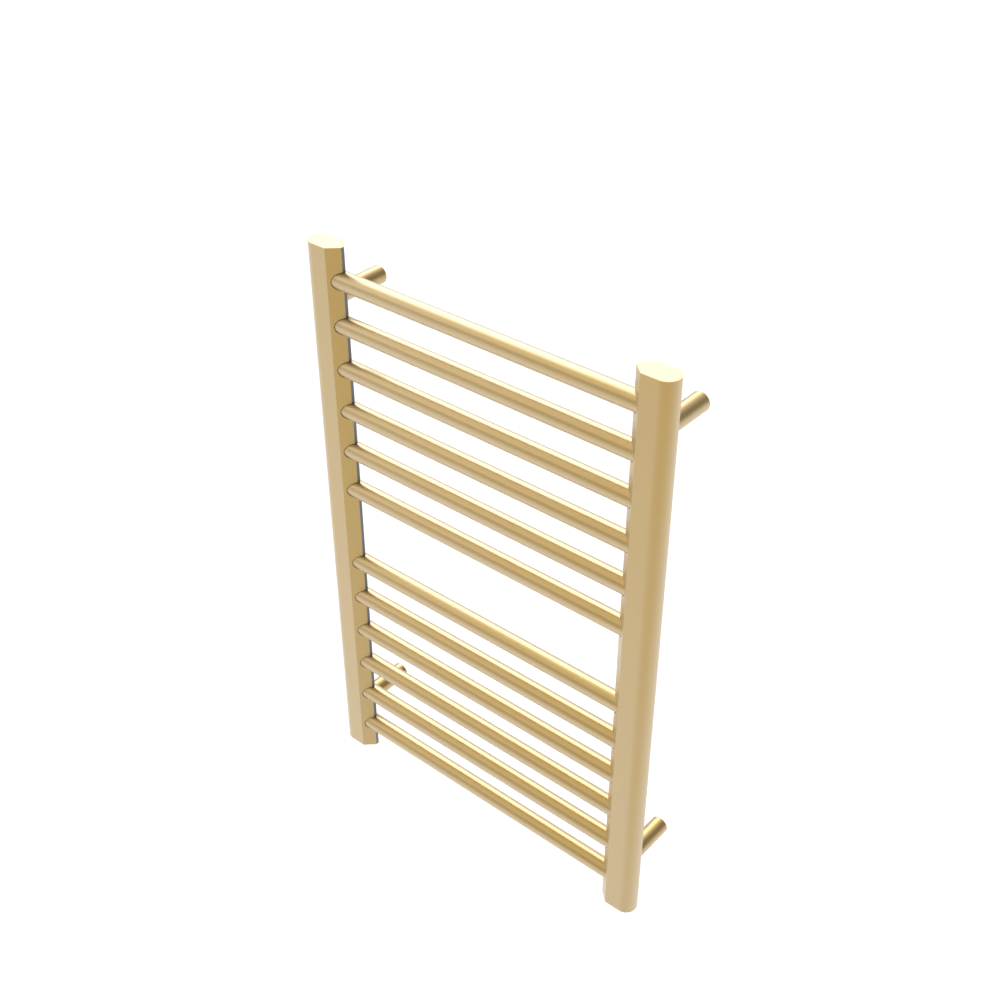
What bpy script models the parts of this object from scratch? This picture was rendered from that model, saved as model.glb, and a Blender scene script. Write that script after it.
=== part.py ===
"""Ladder towel warmer: two posts, twelve bars, four wall standoffs and a dry heating cable.

The origin is on the wall plane, at the centre of the four wall fixings.
+X is to the right seen from the front, +Y goes into the wall and +Z is up.
"""
import math

import bmesh
import bpy
from mathutils import Matrix, Vector

GAP = 0.0003                    # clearance between pieces that touch on the real object
WELD = 0.00001                  # merge distance
ROUND_SIDES = 24                # facets of bars, standoffs and bosses
SMALL_SIDES = 12                # facets of small round pieces
CUT_OVERRUN = 0.004             # how far a cutter runs past the wall that it cuts
SMOOTH_ANGLE = math.radians(35)

# Overall
RACK_HEIGHT = 0.800
RACK_WIDTH = 0.520
PROJECTION = 0.100              # wall to the front of the posts

# Posts: half-round outer side, flat front and back, V-shaped inner side with a narrow flat
POST_DEPTH = 0.031
POST_WIDTH = 0.0515
POST_WALL = 0.0015
POST_TIP = 0.005                # narrow flat at the tip of the V
POST_CHAMFER = 0.014            # length of the V along X
POST_ARC_STEPS = 12
POST_RADIUS = POST_DEPTH / 2
POST_Y = POST_RADIUS - PROJECTION
CAP_THICKNESS = 0.002

# Bars
BAR_DIAMETER = 0.024
BAR_WALL = 0.0012
BAR_PITCH = 0.0594
BARS_EACH_WAY = 6               # above and below the double gap in the middle
BAR_END = 0.222                 # bars reach this far from the middle, inside the posts

# Standoffs, which sit halfway between the last two bars
STANDOFF_X = 0.235
STANDOFF_Z = BAR_PITCH * (BARS_EACH_WAY - 0.5)
STANDOFF_DIAMETER = 0.024
STANDOFF_BORE = 0.020
STANDOFF_BACK = -0.0005
STANDOFF_INTO_POST = 0.003
STANDOFF_FRONT = POST_Y + POST_RADIUS - STANDOFF_INTO_POST

# Wall bosses
BOSS_DIAMETER = STANDOFF_BORE - 2 * GAP
BOSS_LENGTH = 0.018
BOSS_FLAT = 0.0078              # milled flat under the boss, distance from its axis
WALL_SCREW_HOLE = 0.0045
WALL_SCREW_SINK = 0.0085        # mouth of the countersink
WIRED_HOLE_SHIFT = 0.0043       # screw and wire holes of the wired boss, either side of its axis
WIRE_HOLE = 0.008

# Set screws
SET_SCREW_Y = -0.009
SET_SCREW_DIAMETER = 0.0048
SET_SCREW_POINT = 0.0008        # chamfer at its tip
SET_SCREW_KEY = 0.0025          # across the flats of its hex socket
SET_SCREW_KEY_DEPTH = 0.002

# Heating cable, its joint and its seal
CABLE_DIAMETER = 0.004
CABLE_TURN = BAR_PITCH / 2
CABLE_START_TURN = 0.014
CABLE_START_STRAIGHT = 0.003
CABLE_PAST_LAST_BAR = 0.010
QUARTER_STEPS = 4
JOINT_DIAMETER = 0.007
JOINT_LENGTH = 0.015
SEAL_DIAMETER = 0.006
SEAL_LENGTH = 0.014
SLEEVE_BEVEL = 0.001            # rounded ends of the joint and the seal

# Leads and terminals in the bottom right standoff
LEAD_DIAMETER = 0.0018
LEAD_STEP = 0.003
LEAD_STRAIGHT = 0.015           # straight run out of each terminal
LEADS_AT_JOINT = 0.0013         # half the distance between the two leads at the cable joint
TERMINAL_PITCH = 0.0048
TERMINAL_OUTER = 0.0034
TERMINAL_BORE = 0.0024
TERMINAL_LENGTH = 0.014
BLOCK_SIZE = Vector((0.015, 0.018, 0.009))
BLOCK_Y = -0.036
BLOCK_HOLE = 0.004
BLOCK_LEAD_END = 0.004          # leads end this far in front of the middle of the block
CUT_OUT_SIZE = Vector((0.008, 0.004, 0.018))
CUT_OUT_X = 0.247
CUT_OUT_BOTTOM = -0.314
CUT_OUT_EDGE = 0.0006
CUT_OUT_LEADS = 0.0018          # half the distance between its two leads
BUSH_BORE = 0.0054
BUSH_FLANGE = 0.0092
BUSH_FLANGE_THICKNESS = 0.001

# Earth stud on the right post's bottom cap
EARTH_X = 0.240
EARTH_STUD = 0.004
EARTH_STUD_LENGTH = 0.0095
EARTH_HOLE = EARTH_STUD + 2 * GAP
EARTH_RING = 0.0084
EARTH_TAB_WIDTH = 0.0034
EARTH_TAB_REACH = 0.0095
EARTH_RING_THICKNESS = 0.0008
EARTH_NUT_FLATS = 0.007
EARTH_NUT_THICKNESS = 0.0032

ALONG_X = Matrix.Rotation(math.pi / 2, 4, "Y")
ALONG_Y = Matrix.Rotation(-math.pi / 2, 4, "X")
ALONG_Z = Matrix.Identity(4)

FINISHES = {                    # name: (colour, roughness, metallic)
    "brushed_gold": ((0.71, 0.53, 0.31), 0.34, 1.0),
    "zinc_plated_steel": ((0.62, 0.63, 0.64), 0.35, 1.0),
    "black_oxide_steel": ((0.05, 0.05, 0.055), 0.45, 1.0),
    "brass": ((0.72, 0.55, 0.24), 0.30, 1.0),
    "silicone_red": ((0.42, 0.07, 0.04), 0.55, 0.0),
    "heat_shrink": ((0.03, 0.03, 0.03), 0.50, 0.0),
    "white_nylon": ((0.82, 0.81, 0.77), 0.45, 0.0),
    "rubber": ((0.04, 0.04, 0.042), 0.75, 0.0),
    "lead_brown": ((0.20, 0.09, 0.04), 0.50, 0.0),
    "lead_blue": ((0.05, 0.16, 0.48), 0.50, 0.0),
    "lead_green": ((0.12, 0.42, 0.10), 0.50, 0.0),
}


def clear_scene():
    for old in list(bpy.data.objects):
        bpy.data.objects.remove(old, do_unlink=True)


def new_collection(name):
    group = bpy.data.collections.new(name)
    bpy.context.scene.collection.children.link(group)
    return group


def finish(name):
    """Return the material of a finish, made on its first use."""
    known = bpy.data.materials.get(name)
    if known:
        return known
    colour, roughness, metallic = FINISHES[name]
    material = bpy.data.materials.new(name)
    material.use_nodes = True
    shader = material.node_tree.nodes["Principled BSDF"]
    shader.inputs["Base Color"].default_value = (*colour, 1.0)
    shader.inputs["Roughness"].default_value = roughness
    shader.inputs["Metallic"].default_value = metallic
    material.diffuse_color = (*colour, 1.0)
    return material


def add_object(name, data, group):
    piece = bpy.data.objects.new(name, data)
    group.objects.link(piece)
    return piece


def dress(piece, finish_name, parent=None):
    """Give a piece its finish and its parent empty."""
    piece.data.materials.clear()
    piece.data.materials.append(finish(finish_name))
    piece.parent = parent
    return piece


def circle(radius, sides, start=0.0):
    turn = 2 * math.pi / sides
    return [Vector((radius * math.cos(start + i * turn), radius * math.sin(start + i * turn)))
            for i in range(sides)]


def prism(name, outlines, thickness, group):
    """A flat outline, with any further outlines as holes, from Z = 0 up to its thickness."""
    curve = bpy.data.curves.new(name, "CURVE")
    curve.dimensions = "2D"
    curve.fill_mode = "BOTH"
    curve.extrude = thickness / 2
    for outline in outlines:
        spline = curve.splines.new("POLY")
        spline.points.add(len(outline) - 1)
        for point, place in zip(spline.points, outline):
            point.co = (place.x, place.y, 0.0, 1.0)
        spline.use_cyclic_u = True
    guide = add_object(name + "_outline", curve, group)
    evaluated = guide.evaluated_get(bpy.context.evaluated_depsgraph_get())
    mesh = bpy.data.meshes.new_from_object(evaluated)
    bpy.data.objects.remove(guide)
    bpy.data.curves.remove(curve)
    mesh.name = name
    shape = bmesh.new()
    shape.from_mesh(mesh)
    bmesh.ops.remove_doubles(shape, verts=shape.verts, dist=WELD)
    bmesh.ops.translate(shape, verts=shape.verts, vec=(0.0, 0.0, thickness / 2))
    bmesh.ops.recalc_face_normals(shape, faces=shape.faces)
    shape.to_mesh(mesh)
    shape.free()
    mesh.shade_smooth()
    mesh.set_sharp_from_angle(angle=SMOOTH_ANGLE)
    return add_object(name, mesh, group)


def turned(name, profile, sides, group, placement):
    """Turn a closed (radius, height) profile, given down its outer side first, about Z."""
    mesh = bpy.data.meshes.new(name)
    count = len(profile)
    on_axis = profile[0][0] == 0.0 and profile[-1][0] == 0.0
    edges = [(i, (i + 1) % count) for i in range(count - 1 if on_axis else count)]
    mesh.from_pydata([(radius, 0.0, height) for radius, height in profile], edges, [])
    piece = add_object(name, mesh, group)
    piece.matrix_world = placement
    screw = piece.modifiers.new("turn", "SCREW")
    screw.axis = "Z"
    screw.steps = sides
    screw.render_steps = sides
    screw.use_merge_vertices = True
    screw.merge_threshold = WELD
    screw.use_smooth_shade = True
    return piece


def tube(name, outer, inner, length, sides, group, placement):
    """A round tube from Z = 0 up to its length, before it is placed."""
    profile = [(outer / 2, length), (outer / 2, 0.0), (inner / 2, 0.0), (inner / 2, length)]
    return turned(name, profile, sides, group, placement)


def rounds_cutter(name, places, start_diameter, end_diameter, depth, sides, group, turn,
                  parent=None):
    """Cylinders or cones in one cutter, each centred on its place and turned to one direction."""
    shape = bmesh.new()
    for place in places:
        bmesh.ops.create_cone(
            shape, cap_ends=True, segments=sides, radius1=start_diameter / 2,
            radius2=end_diameter / 2, depth=depth, matrix=Matrix.Translation(place) @ turn)
    mesh = bpy.data.meshes.new(name)
    shape.to_mesh(mesh)
    shape.free()
    return as_cutter(add_object(name, mesh, group), parent)


def box_cutter(name, low, high, group, parent=None):
    size = high - low
    shape = bmesh.new()
    bmesh.ops.create_cube(shape, size=1.0, matrix=(
        Matrix.Translation((low + high) / 2) @ Matrix.Diagonal((*size, 1.0))))
    mesh = bpy.data.meshes.new(name)
    shape.to_mesh(mesh)
    shape.free()
    return as_cutter(add_object(name, mesh, group), parent)


def as_cutter(cutter, parent):
    cutter.hide_render = True
    cutter.display_type = "WIRE"
    cutter.parent = parent
    return cutter


def cut(piece, *cutters):
    for cutter in cutters:
        boolean = piece.modifiers.new(cutter.name, "BOOLEAN")
        boolean.operation = "DIFFERENCE"
        boolean.object = cutter


def wire(name, points, diameter, group):
    curve = bpy.data.curves.new(name, "CURVE")
    curve.dimensions = "3D"
    curve.bevel_depth = diameter / 2
    curve.bevel_resolution = 2
    curve.use_fill_caps = True
    spline = curve.splines.new("POLY")
    spline.points.add(len(points) - 1)
    for point, place in zip(spline.points, points):
        point.co = (*place, 1.0)
    return add_object(name, curve, group)


def smooth_route(knots, step):
    """Points a step apart on a smooth curve through a lead's own points."""
    ends = [2 * knots[0] - knots[1], *knots, 2 * knots[-1] - knots[-2]]
    route = []
    for before, start, end, after in zip(ends, ends[1:], ends[2:], ends[3:]):
        count = max(2, round((end - start).length / step))
        for i in range(count):
            t = i / count
            route.append(0.5 * (
                2 * start + (end - before) * t
                + (2 * before - 5 * start + 4 * end - after) * t ** 2
                + (3 * start - before - 3 * end + after) * t ** 3))
    route.append(knots[-1])
    return route


def bar_heights():
    """Heights of the bars' axes, from the top one down."""
    steps = [k for k in range(BARS_EACH_WAY, -BARS_EACH_WAY - 1, -1) if k]
    return [k * BAR_PITCH for k in steps]


def post_outline(side, inset=0.0):
    """Plan of a post, side -1 for the left and 1 for the right, moved in by an even wall."""
    round_x = RACK_WIDTH / 2 - POST_RADIUS
    tip_x = RACK_WIDTH / 2 - POST_WIDTH
    half_tip = POST_TIP / 2
    corners = [Vector((tip_x, half_tip)), Vector((tip_x, -half_tip)),
               Vector((tip_x + POST_CHAMFER, -POST_RADIUS))]
    for i in range(POST_ARC_STEPS + 1):
        angle = math.pi * (i / POST_ARC_STEPS - 0.5)
        corners.append(Vector((round_x + POST_RADIUS * math.cos(angle),
                               POST_RADIUS * math.sin(angle))))
    corners.append(Vector((tip_x + POST_CHAMFER, POST_RADIUS)))
    moved = []
    for i, corner in enumerate(corners):
        along_in = (corner - corners[i - 1]).normalized()
        along_out = (corners[(i + 1) % len(corners)] - corner).normalized()
        inwards_in = Vector((-along_in.y, along_in.x))
        inwards_out = Vector((-along_out.y, along_out.x))
        mitre = (inwards_in + inwards_out) / (1 + inwards_in.dot(inwards_out))
        place = corner + inset * mitre
        moved.append(Vector((side * place.x, place.y + POST_Y)))
    return moved


def make_posts(group, cutters, rack):
    for side, name in ((-1, "left"), (1, "right")):
        post = prism(name + "_post", [post_outline(side), post_outline(side, POST_WALL)],
                     RACK_HEIGHT, group)
        post.location.z = -RACK_HEIGHT / 2
        dress(post, "brushed_gold", rack)
        hole_length = POST_CHAMFER + 2 * CUT_OVERRUN
        hole_x = side * (BAR_END + CUT_OVERRUN - hole_length / 2)
        bar_holes = rounds_cutter(
            name + "_bar_holes", [Vector((hole_x, POST_Y, z)) for z in bar_heights()],
            BAR_DIAMETER + 2 * GAP, BAR_DIAMETER + 2 * GAP, hole_length, ROUND_SIDES,
            cutters, ALONG_X, rack)
        standoff_holes = rounds_cutter(
            name + "_standoff_holes",
            [Vector((side * STANDOFF_X, POST_Y + POST_RADIUS, z)) for z in (STANDOFF_Z, -STANDOFF_Z)],
            STANDOFF_DIAMETER + 2 * GAP, STANDOFF_DIAMETER + 2 * GAP, POST_RADIUS, ROUND_SIDES,
            cutters, ALONG_Y, rack)
        cut(post, bar_holes, standoff_holes)
        inner = post_outline(side, POST_WALL + GAP)
        for end, base in (("top", RACK_HEIGHT / 2 - CAP_THICKNESS), ("bottom", -RACK_HEIGHT / 2)):
            cap = prism(f"{name}_post_{end}_cap", [inner], CAP_THICKNESS, group)
            cap.location.z = base
            dress(cap, "brushed_gold", rack)


def make_bars(group, rack):
    for number, height in enumerate(bar_heights(), start=1):
        place = Matrix.Translation((-BAR_END, POST_Y, height)) @ ALONG_X
        bar = tube(f"bar_{number:02d}", BAR_DIAMETER, BAR_DIAMETER - 2 * BAR_WALL, 2 * BAR_END,
                   ROUND_SIDES, group, place)
        dress(bar, "brushed_gold", rack)


def make_set_screw(name, x, z, group, cutters, rack):
    """Its local Z points out of the standoff, and its origin is on the standoff's axis."""
    tip = BOSS_FLAT + GAP
    end = STANDOFF_DIAMETER / 2
    radius = SET_SCREW_DIAMETER / 2
    profile = [(0.0, end), (radius, end), (radius, tip + SET_SCREW_POINT),
               (radius - SET_SCREW_POINT, tip), (0.0, tip)]
    place = Matrix.Translation((x, SET_SCREW_Y, z)) @ Matrix.Rotation(math.pi, 4, "X")
    screw = turned(name, profile, SMALL_SIDES, group, place)
    dress(screw, "black_oxide_steel", rack)
    across_corners = SET_SCREW_KEY / math.cos(math.pi / 6)
    socket = rounds_cutter(
        name + "_socket", [Vector((x, SET_SCREW_Y, z - end))], across_corners, across_corners,
        2 * SET_SCREW_KEY_DEPTH, 6, cutters, ALONG_Z, rack)
    cut(screw, socket)


def make_standoffs(group, cutters, rack):
    for side, across in ((-1, "left"), (1, "right")):
        for level, end in ((1, "top"), (-1, "bottom")):
            x = side * STANDOFF_X
            z = level * STANDOFF_Z
            corner = f"{end}_{across}"
            place = Matrix.Translation((x, STANDOFF_FRONT, z)) @ ALONG_Y
            standoff = tube(corner + "_standoff", STANDOFF_DIAMETER, STANDOFF_BORE,
                            STANDOFF_BACK - STANDOFF_FRONT, ROUND_SIDES, group, place)
            dress(standoff, "brushed_gold", rack)
            hole = rounds_cutter(
                corner + "_set_screw_hole", [Vector((x, SET_SCREW_Y, z - STANDOFF_DIAMETER / 2))],
                SET_SCREW_DIAMETER + 2 * GAP, SET_SCREW_DIAMETER + 2 * GAP,
                STANDOFF_DIAMETER / 2, SMALL_SIDES, cutters, ALONG_Z, rack)
            cut(standoff, hole)
            make_set_screw(corner + "_set_screw", x, z, group, cutters, rack)


def make_wall_bosses(group, cutters):
    for side, across in ((-1, "left"), (1, "right")):
        for level, end in ((1, "top"), (-1, "bottom")):
            wired = side == 1 and level == -1
            corner = f"{end}_{across}"
            centre = Vector((side * STANDOFF_X, -BOSS_LENGTH / 2, level * STANDOFF_Z))
            solid = [(0.0, BOSS_LENGTH / 2), (BOSS_DIAMETER / 2, BOSS_LENGTH / 2),
                     (BOSS_DIAMETER / 2, -BOSS_LENGTH / 2), (0.0, -BOSS_LENGTH / 2)]
            boss = turned(corner + "_wall_boss", solid, ROUND_SIDES, group,
                          Matrix.Translation(centre) @ ALONG_Y)
            dress(boss, "zinc_plated_steel")
            low = centre + Vector((-BOSS_DIAMETER, -BOSS_LENGTH, -BOSS_DIAMETER))
            high = centre + Vector((BOSS_DIAMETER, BOSS_LENGTH, -BOSS_FLAT))
            flat = box_cutter(corner + "_boss_flat", low, high, cutters)
            screw_at = centre - Vector((WIRED_HOLE_SHIFT if wired else 0.0, 0.0, 0.0))
            hole = rounds_cutter(corner + "_wall_screw_hole", [screw_at], WALL_SCREW_HOLE,
                                 WALL_SCREW_HOLE, 2 * BOSS_LENGTH, ROUND_SIDES, cutters, ALONG_Y)
            mouth = screw_at + Vector((0.0, -BOSS_LENGTH / 2, 0.0))
            sink = rounds_cutter(corner + "_wall_screw_sink", [mouth],
                                 2 * WALL_SCREW_SINK - WALL_SCREW_HOLE, WALL_SCREW_HOLE,
                                 WALL_SCREW_SINK - WALL_SCREW_HOLE, ROUND_SIDES, cutters, ALONG_Y)
            cut(boss, flat, hole, sink)
            if wired:
                wires_at = centre + Vector((WIRED_HOLE_SHIFT, 0.0, 0.0))
                cut(boss, rounds_cutter(corner + "_wire_hole", [wires_at], WIRE_HOLE, WIRE_HOLE,
                                        2 * BOSS_LENGTH, ROUND_SIDES, cutters, ALONG_Y))
                make_bush(wires_at, group)


def make_bush(centre, group):
    """Flanged liner, with its flange on the boss's inner end."""
    barrel = WIRE_HOLE / 2 - GAP
    bore = BUSH_BORE / 2
    flange = BUSH_FLANGE / 2
    step = -BOSS_LENGTH / 2 - GAP
    start = step - BUSH_FLANGE_THICKNESS
    back = BOSS_LENGTH / 2 + STANDOFF_BACK
    profile = [(barrel, back), (barrel, step), (flange, step), (flange, start),
               (bore, start), (bore, back)]
    bush = turned("supply_bush", profile, ROUND_SIDES, group,
                  Matrix.Translation(centre) @ ALONG_Y)
    dress(bush, "rubber")


def quarter(centre, radius, start, end):
    """Points on a quarter turn in the XZ plane, without its first one."""
    points = []
    for i in range(1, QUARTER_STEPS + 1):
        angle = math.radians(start + (end - start) * i / QUARTER_STEPS)
        points.append(centre + radius * Vector((math.cos(angle), 0.0, math.sin(angle))))
    return points


def cable_route():
    """Up the rack through every bar, turning back in each post."""
    heights = bar_heights()[::-1]
    turn_centre = Vector((BAR_END, POST_Y, heights[0] + CABLE_START_TURN))
    route = [turn_centre + Vector((CABLE_START_TURN, 0.0, CABLE_START_STRAIGHT)),
             turn_centre + Vector((CABLE_START_TURN, 0.0, 0.0))]
    route += quarter(turn_centre, CABLE_START_TURN, 0, -90)
    side = -1
    for here, there in zip(heights, heights[1:]):
        middle = 90 + 90 * side
        lower = Vector((side * BAR_END, POST_Y, here + CABLE_TURN))
        upper = Vector((side * BAR_END, POST_Y, there - CABLE_TURN))
        route.append(lower - Vector((0.0, 0.0, CABLE_TURN)))
        if side == 1:
            route += quarter(lower, CABLE_TURN, -90, 0)
            top = quarter(upper, CABLE_TURN, 0, 90)
        else:
            route += quarter(lower, CABLE_TURN, 270, middle + 180)
            top = quarter(upper, CABLE_TURN, 180, 90)
        if there - here > 1.5 * BAR_PITCH:
            route.append(upper + Vector((side * CABLE_TURN, 0.0, 0.0)))
        route += top
        side = -side
    route.append(Vector((BAR_END + CABLE_PAST_LAST_BAR, POST_Y, heights[-1])))
    return route


def make_heating_cable(group, rack):
    route = cable_route()
    dress(wire("heating_cable", route, CABLE_DIAMETER, group), "silicone_red", rack)

    bevel = SLEEVE_BEVEL
    radius = JOINT_DIAMETER / 2
    profile = [(0.0, JOINT_LENGTH), (radius - bevel, JOINT_LENGTH), (radius, JOINT_LENGTH - bevel),
               (radius, bevel), (radius - bevel, 0.0), (0.0, 0.0)]
    joint = turned("cable_joint", profile, SMALL_SIDES, group,
                   Matrix.Translation(route[0] + Vector((0.0, 0.0, GAP))))
    dress(joint, "heat_shrink", rack)

    radius = SEAL_DIAMETER / 2
    profile = [(0.0, SEAL_LENGTH), (radius - bevel, SEAL_LENGTH), (radius, SEAL_LENGTH - bevel),
               (radius, 0.0), (0.0, 0.0)]
    seal = turned("cable_end_seal", profile, SMALL_SIDES, group,
                  Matrix.Translation(route[-1] + Vector((GAP, 0.0, 0.0))) @ ALONG_X)
    dress(seal, "heat_shrink", rack)
    return route[0] + Vector((0.0, 0.0, 2 * GAP + JOINT_LENGTH))


def block(name, centre, size, group):
    bpy.ops.mesh.primitive_cube_add(size=1.0, location=centre)
    piece = bpy.context.object
    piece.name = piece.data.name = name
    piece.data.transform(Matrix.Diagonal((*size, 1.0)))
    for user in list(piece.users_collection):
        user.objects.unlink(piece)
    group.objects.link(piece)
    return piece


def make_cut_out(group, rack):
    centre = Vector((CUT_OUT_X, POST_Y, CUT_OUT_BOTTOM + CUT_OUT_SIZE.z / 2))
    body = block("thermal_cut_out", centre, CUT_OUT_SIZE, group)
    edge = body.modifiers.new("edges", "BEVEL")
    edge.width = CUT_OUT_EDGE
    edge.segments = 1
    dress(body, "white_nylon", rack)


def make_terminals(group, cutters, rack):
    """Three-pole block in the bottom right standoff, with a brass tube in each pole."""
    centre = Vector((STANDOFF_X, BLOCK_Y, -STANDOFF_Z))
    poles = {"earth": -TERMINAL_PITCH, "neutral": 0.0, "live": TERMINAL_PITCH}
    body = block("terminal_block", centre, BLOCK_SIZE, group)
    dress(body, "white_nylon", rack)
    holes = rounds_cutter("terminal_holes", [centre + Vector((x, 0.0, 0.0)) for x in poles.values()],
                          BLOCK_HOLE, BLOCK_HOLE, 2 * BLOCK_SIZE.y, SMALL_SIDES, cutters,
                          ALONG_Y, rack)
    cut(body, holes)
    for pole, x in poles.items():
        start = centre + Vector((x, -TERMINAL_LENGTH / 2, 0.0))
        terminal = tube(pole + "_terminal", TERMINAL_OUTER, TERMINAL_BORE, TERMINAL_LENGTH,
                        SMALL_SIDES, group, Matrix.Translation(start) @ ALONG_Y)
        dress(terminal, "brass", rack)


def make_earth_stud(group, rack):
    """Stud, ring terminal and nut on the right post's bottom cap; returns where the lead lands."""
    cap_top = -RACK_HEIGHT / 2 + CAP_THICKNESS
    foot = Vector((EARTH_X, POST_Y, cap_top + GAP))
    stud = turned("earth_stud", [(0.0, EARTH_STUD_LENGTH), (EARTH_STUD / 2, EARTH_STUD_LENGTH),
                                 (EARTH_STUD / 2, 0.0), (0.0, 0.0)],
                  SMALL_SIDES, group, Matrix.Translation(foot))
    dress(stud, "zinc_plated_steel", rack)

    hole = circle(EARTH_HOLE / 2, SMALL_SIDES)
    half_width = EARTH_TAB_WIDTH / 2
    meet = math.asin(half_width / (EARTH_RING / 2))
    sweep = 2 * (math.pi - meet)
    ring = [Vector((math.cos(meet + sweep * i / ROUND_SIDES), math.sin(meet + sweep * i / ROUND_SIDES)))
            * EARTH_RING / 2 for i in range(ROUND_SIDES + 1)]
    ring += [Vector((EARTH_TAB_REACH, -half_width)), Vector((EARTH_TAB_REACH, half_width))]
    terminal = prism("earth_ring", [ring, hole], EARTH_RING_THICKNESS, group)
    terminal.location = foot
    dress(terminal, "brass", rack)

    ring_top = foot + Vector((0.0, 0.0, EARTH_RING_THICKNESS))
    across_corners = EARTH_NUT_FLATS / math.cos(math.pi / 6)
    nut = prism("earth_nut", [circle(across_corners / 2, 6), hole], EARTH_NUT_THICKNESS, group)
    nut.location = ring_top + Vector((0.0, 0.0, GAP))
    dress(nut, "zinc_plated_steel", rack)
    return ring_top + Vector((EARTH_TAB_REACH - EARTH_TAB_WIDTH / 2, 0.0, GAP))


def make_leads(joint_top, earth_landing, group, rack):
    """Live, neutral and earth from the terminals, and the short lead after the cut-out."""
    z = -STANDOFF_Z
    cut_out_end = Vector((CUT_OUT_X, POST_Y, CUT_OUT_BOTTOM - GAP))
    spread = Vector((CUT_OUT_LEADS, 0.0, 0.0))
    at_joint = Vector((LEADS_AT_JOINT, 0.0, 0.0))
    start = BLOCK_Y - BLOCK_LEAD_END

    def from_terminal(x):
        return [Vector((STANDOFF_X + x, start, z)),
                Vector((STANDOFF_X + x, start - LEAD_STRAIGHT, z))]

    def above(place, height):
        return place + Vector((0.0, 0.0, height))

    live = from_terminal(TERMINAL_PITCH) + [
        Vector((0.2402, -0.0680, z - 0.0005)), Vector((0.2425, -0.0765, z - 0.0025)),
        Vector((0.2470, -0.0830, z - 0.0023)), above(cut_out_end + spread, -0.009),
        cut_out_end + spread]
    neutral = from_terminal(0.0) + [
        Vector((0.2349, -0.0660, z + 0.0019)), Vector((0.2347, -0.0765, z + 0.0072)),
        above(joint_top - at_joint, 0.0066) + Vector((0.0, 0.0015, 0.0)),
        above(joint_top - at_joint, 0.0038), joint_top - at_joint]
    after_cut_out = [
        cut_out_end - spread, above(cut_out_end - spread, -0.0022),
        above((cut_out_end - spread + joint_top + at_joint) / 2, 0.0),
        above(joint_top + at_joint, 0.0020), joint_top + at_joint]
    earth = from_terminal(-TERMINAL_PITCH) + [
        Vector((0.2302, -0.0660, z - 0.0008)), Vector((0.2310, -0.0745, z - 0.0033)),
        Vector((0.2330, -0.0765, z - 0.0133)), Vector((0.2400, -0.0765, z - 0.0333)),
        Vector((0.2460, -0.0780, z - 0.0533)), above(earth_landing, 0.0046) + Vector((0, 0.0008, 0)),
        earth_landing]
    for name, knots, colour in (
            ("live_lead", live, "lead_brown"), ("neutral_lead", neutral, "lead_blue"),
            ("cut_out_lead", after_cut_out, "lead_brown"), ("earth_lead", earth, "lead_green")):
        dress(wire(name, smooth_route(knots, LEAD_STEP), LEAD_DIAMETER, group), colour, rack)


def main():
    clear_scene()
    group = new_collection("towel_warmer_rack")
    cutters = new_collection("cutters")
    rack = add_object("rack_slide_axis", None, group)
    make_wall_bosses(group, cutters)
    make_posts(group, cutters, rack)
    make_bars(group, rack)
    make_standoffs(group, cutters, rack)
    joint_top = make_heating_cable(group, rack)
    make_cut_out(group, rack)
    make_terminals(group, cutters, rack)
    earth_landing = make_earth_stud(group, rack)
    make_leads(joint_top, earth_landing, group, rack)


main()
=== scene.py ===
"""Finished pieces of a wall-hung ladder towel warmer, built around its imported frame.

The frame's origin is on the wall plane, at the centre of the four wall fixings:
+X is to the right seen from the front, +Y goes into the wall and +Z is up.
"""

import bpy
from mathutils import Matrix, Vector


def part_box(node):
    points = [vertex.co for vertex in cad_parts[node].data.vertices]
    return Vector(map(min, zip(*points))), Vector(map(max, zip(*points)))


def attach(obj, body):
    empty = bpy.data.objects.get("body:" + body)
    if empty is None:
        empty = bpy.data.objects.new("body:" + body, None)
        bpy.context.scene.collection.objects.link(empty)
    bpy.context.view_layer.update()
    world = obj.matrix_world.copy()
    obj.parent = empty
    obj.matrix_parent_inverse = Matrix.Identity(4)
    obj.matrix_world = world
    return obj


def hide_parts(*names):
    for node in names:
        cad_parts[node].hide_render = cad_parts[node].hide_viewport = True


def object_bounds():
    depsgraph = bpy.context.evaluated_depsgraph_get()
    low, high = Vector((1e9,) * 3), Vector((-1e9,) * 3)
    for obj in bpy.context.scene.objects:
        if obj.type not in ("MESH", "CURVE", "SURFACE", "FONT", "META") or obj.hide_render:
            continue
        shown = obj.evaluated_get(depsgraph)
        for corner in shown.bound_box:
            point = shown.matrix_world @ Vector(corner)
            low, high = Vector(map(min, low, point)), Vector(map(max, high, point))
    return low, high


bl_info = {
    "name": "Ladder Towel Warmer",
    "version": (1, 0, 0),
    "blender": (4, 5, 0),
    "location": "View3D > Sidebar > Towel Warmer",
    "description": "Builds the finished pieces of a ladder towel warmer around its frame",
    "category": "Object",
}

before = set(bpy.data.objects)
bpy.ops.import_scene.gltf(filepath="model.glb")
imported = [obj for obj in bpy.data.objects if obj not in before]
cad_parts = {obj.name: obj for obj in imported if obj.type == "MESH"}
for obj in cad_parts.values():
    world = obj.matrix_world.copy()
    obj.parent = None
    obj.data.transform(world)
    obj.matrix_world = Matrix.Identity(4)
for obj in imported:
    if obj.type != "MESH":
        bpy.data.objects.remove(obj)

import math

import bmesh
import bpy
from bpy.props import FloatProperty, FloatVectorProperty, IntProperty, PointerProperty
from bpy.types import Operator, Panel, PropertyGroup
from mathutils import Matrix, Vector

FRAME_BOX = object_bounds()
POST_LOW, POST_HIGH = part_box("right_post")
BAR_LOW, BAR_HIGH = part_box("bar_01")
STANDOFF_LOW, STANDOFF_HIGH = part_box("top_right_standoff")

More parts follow.
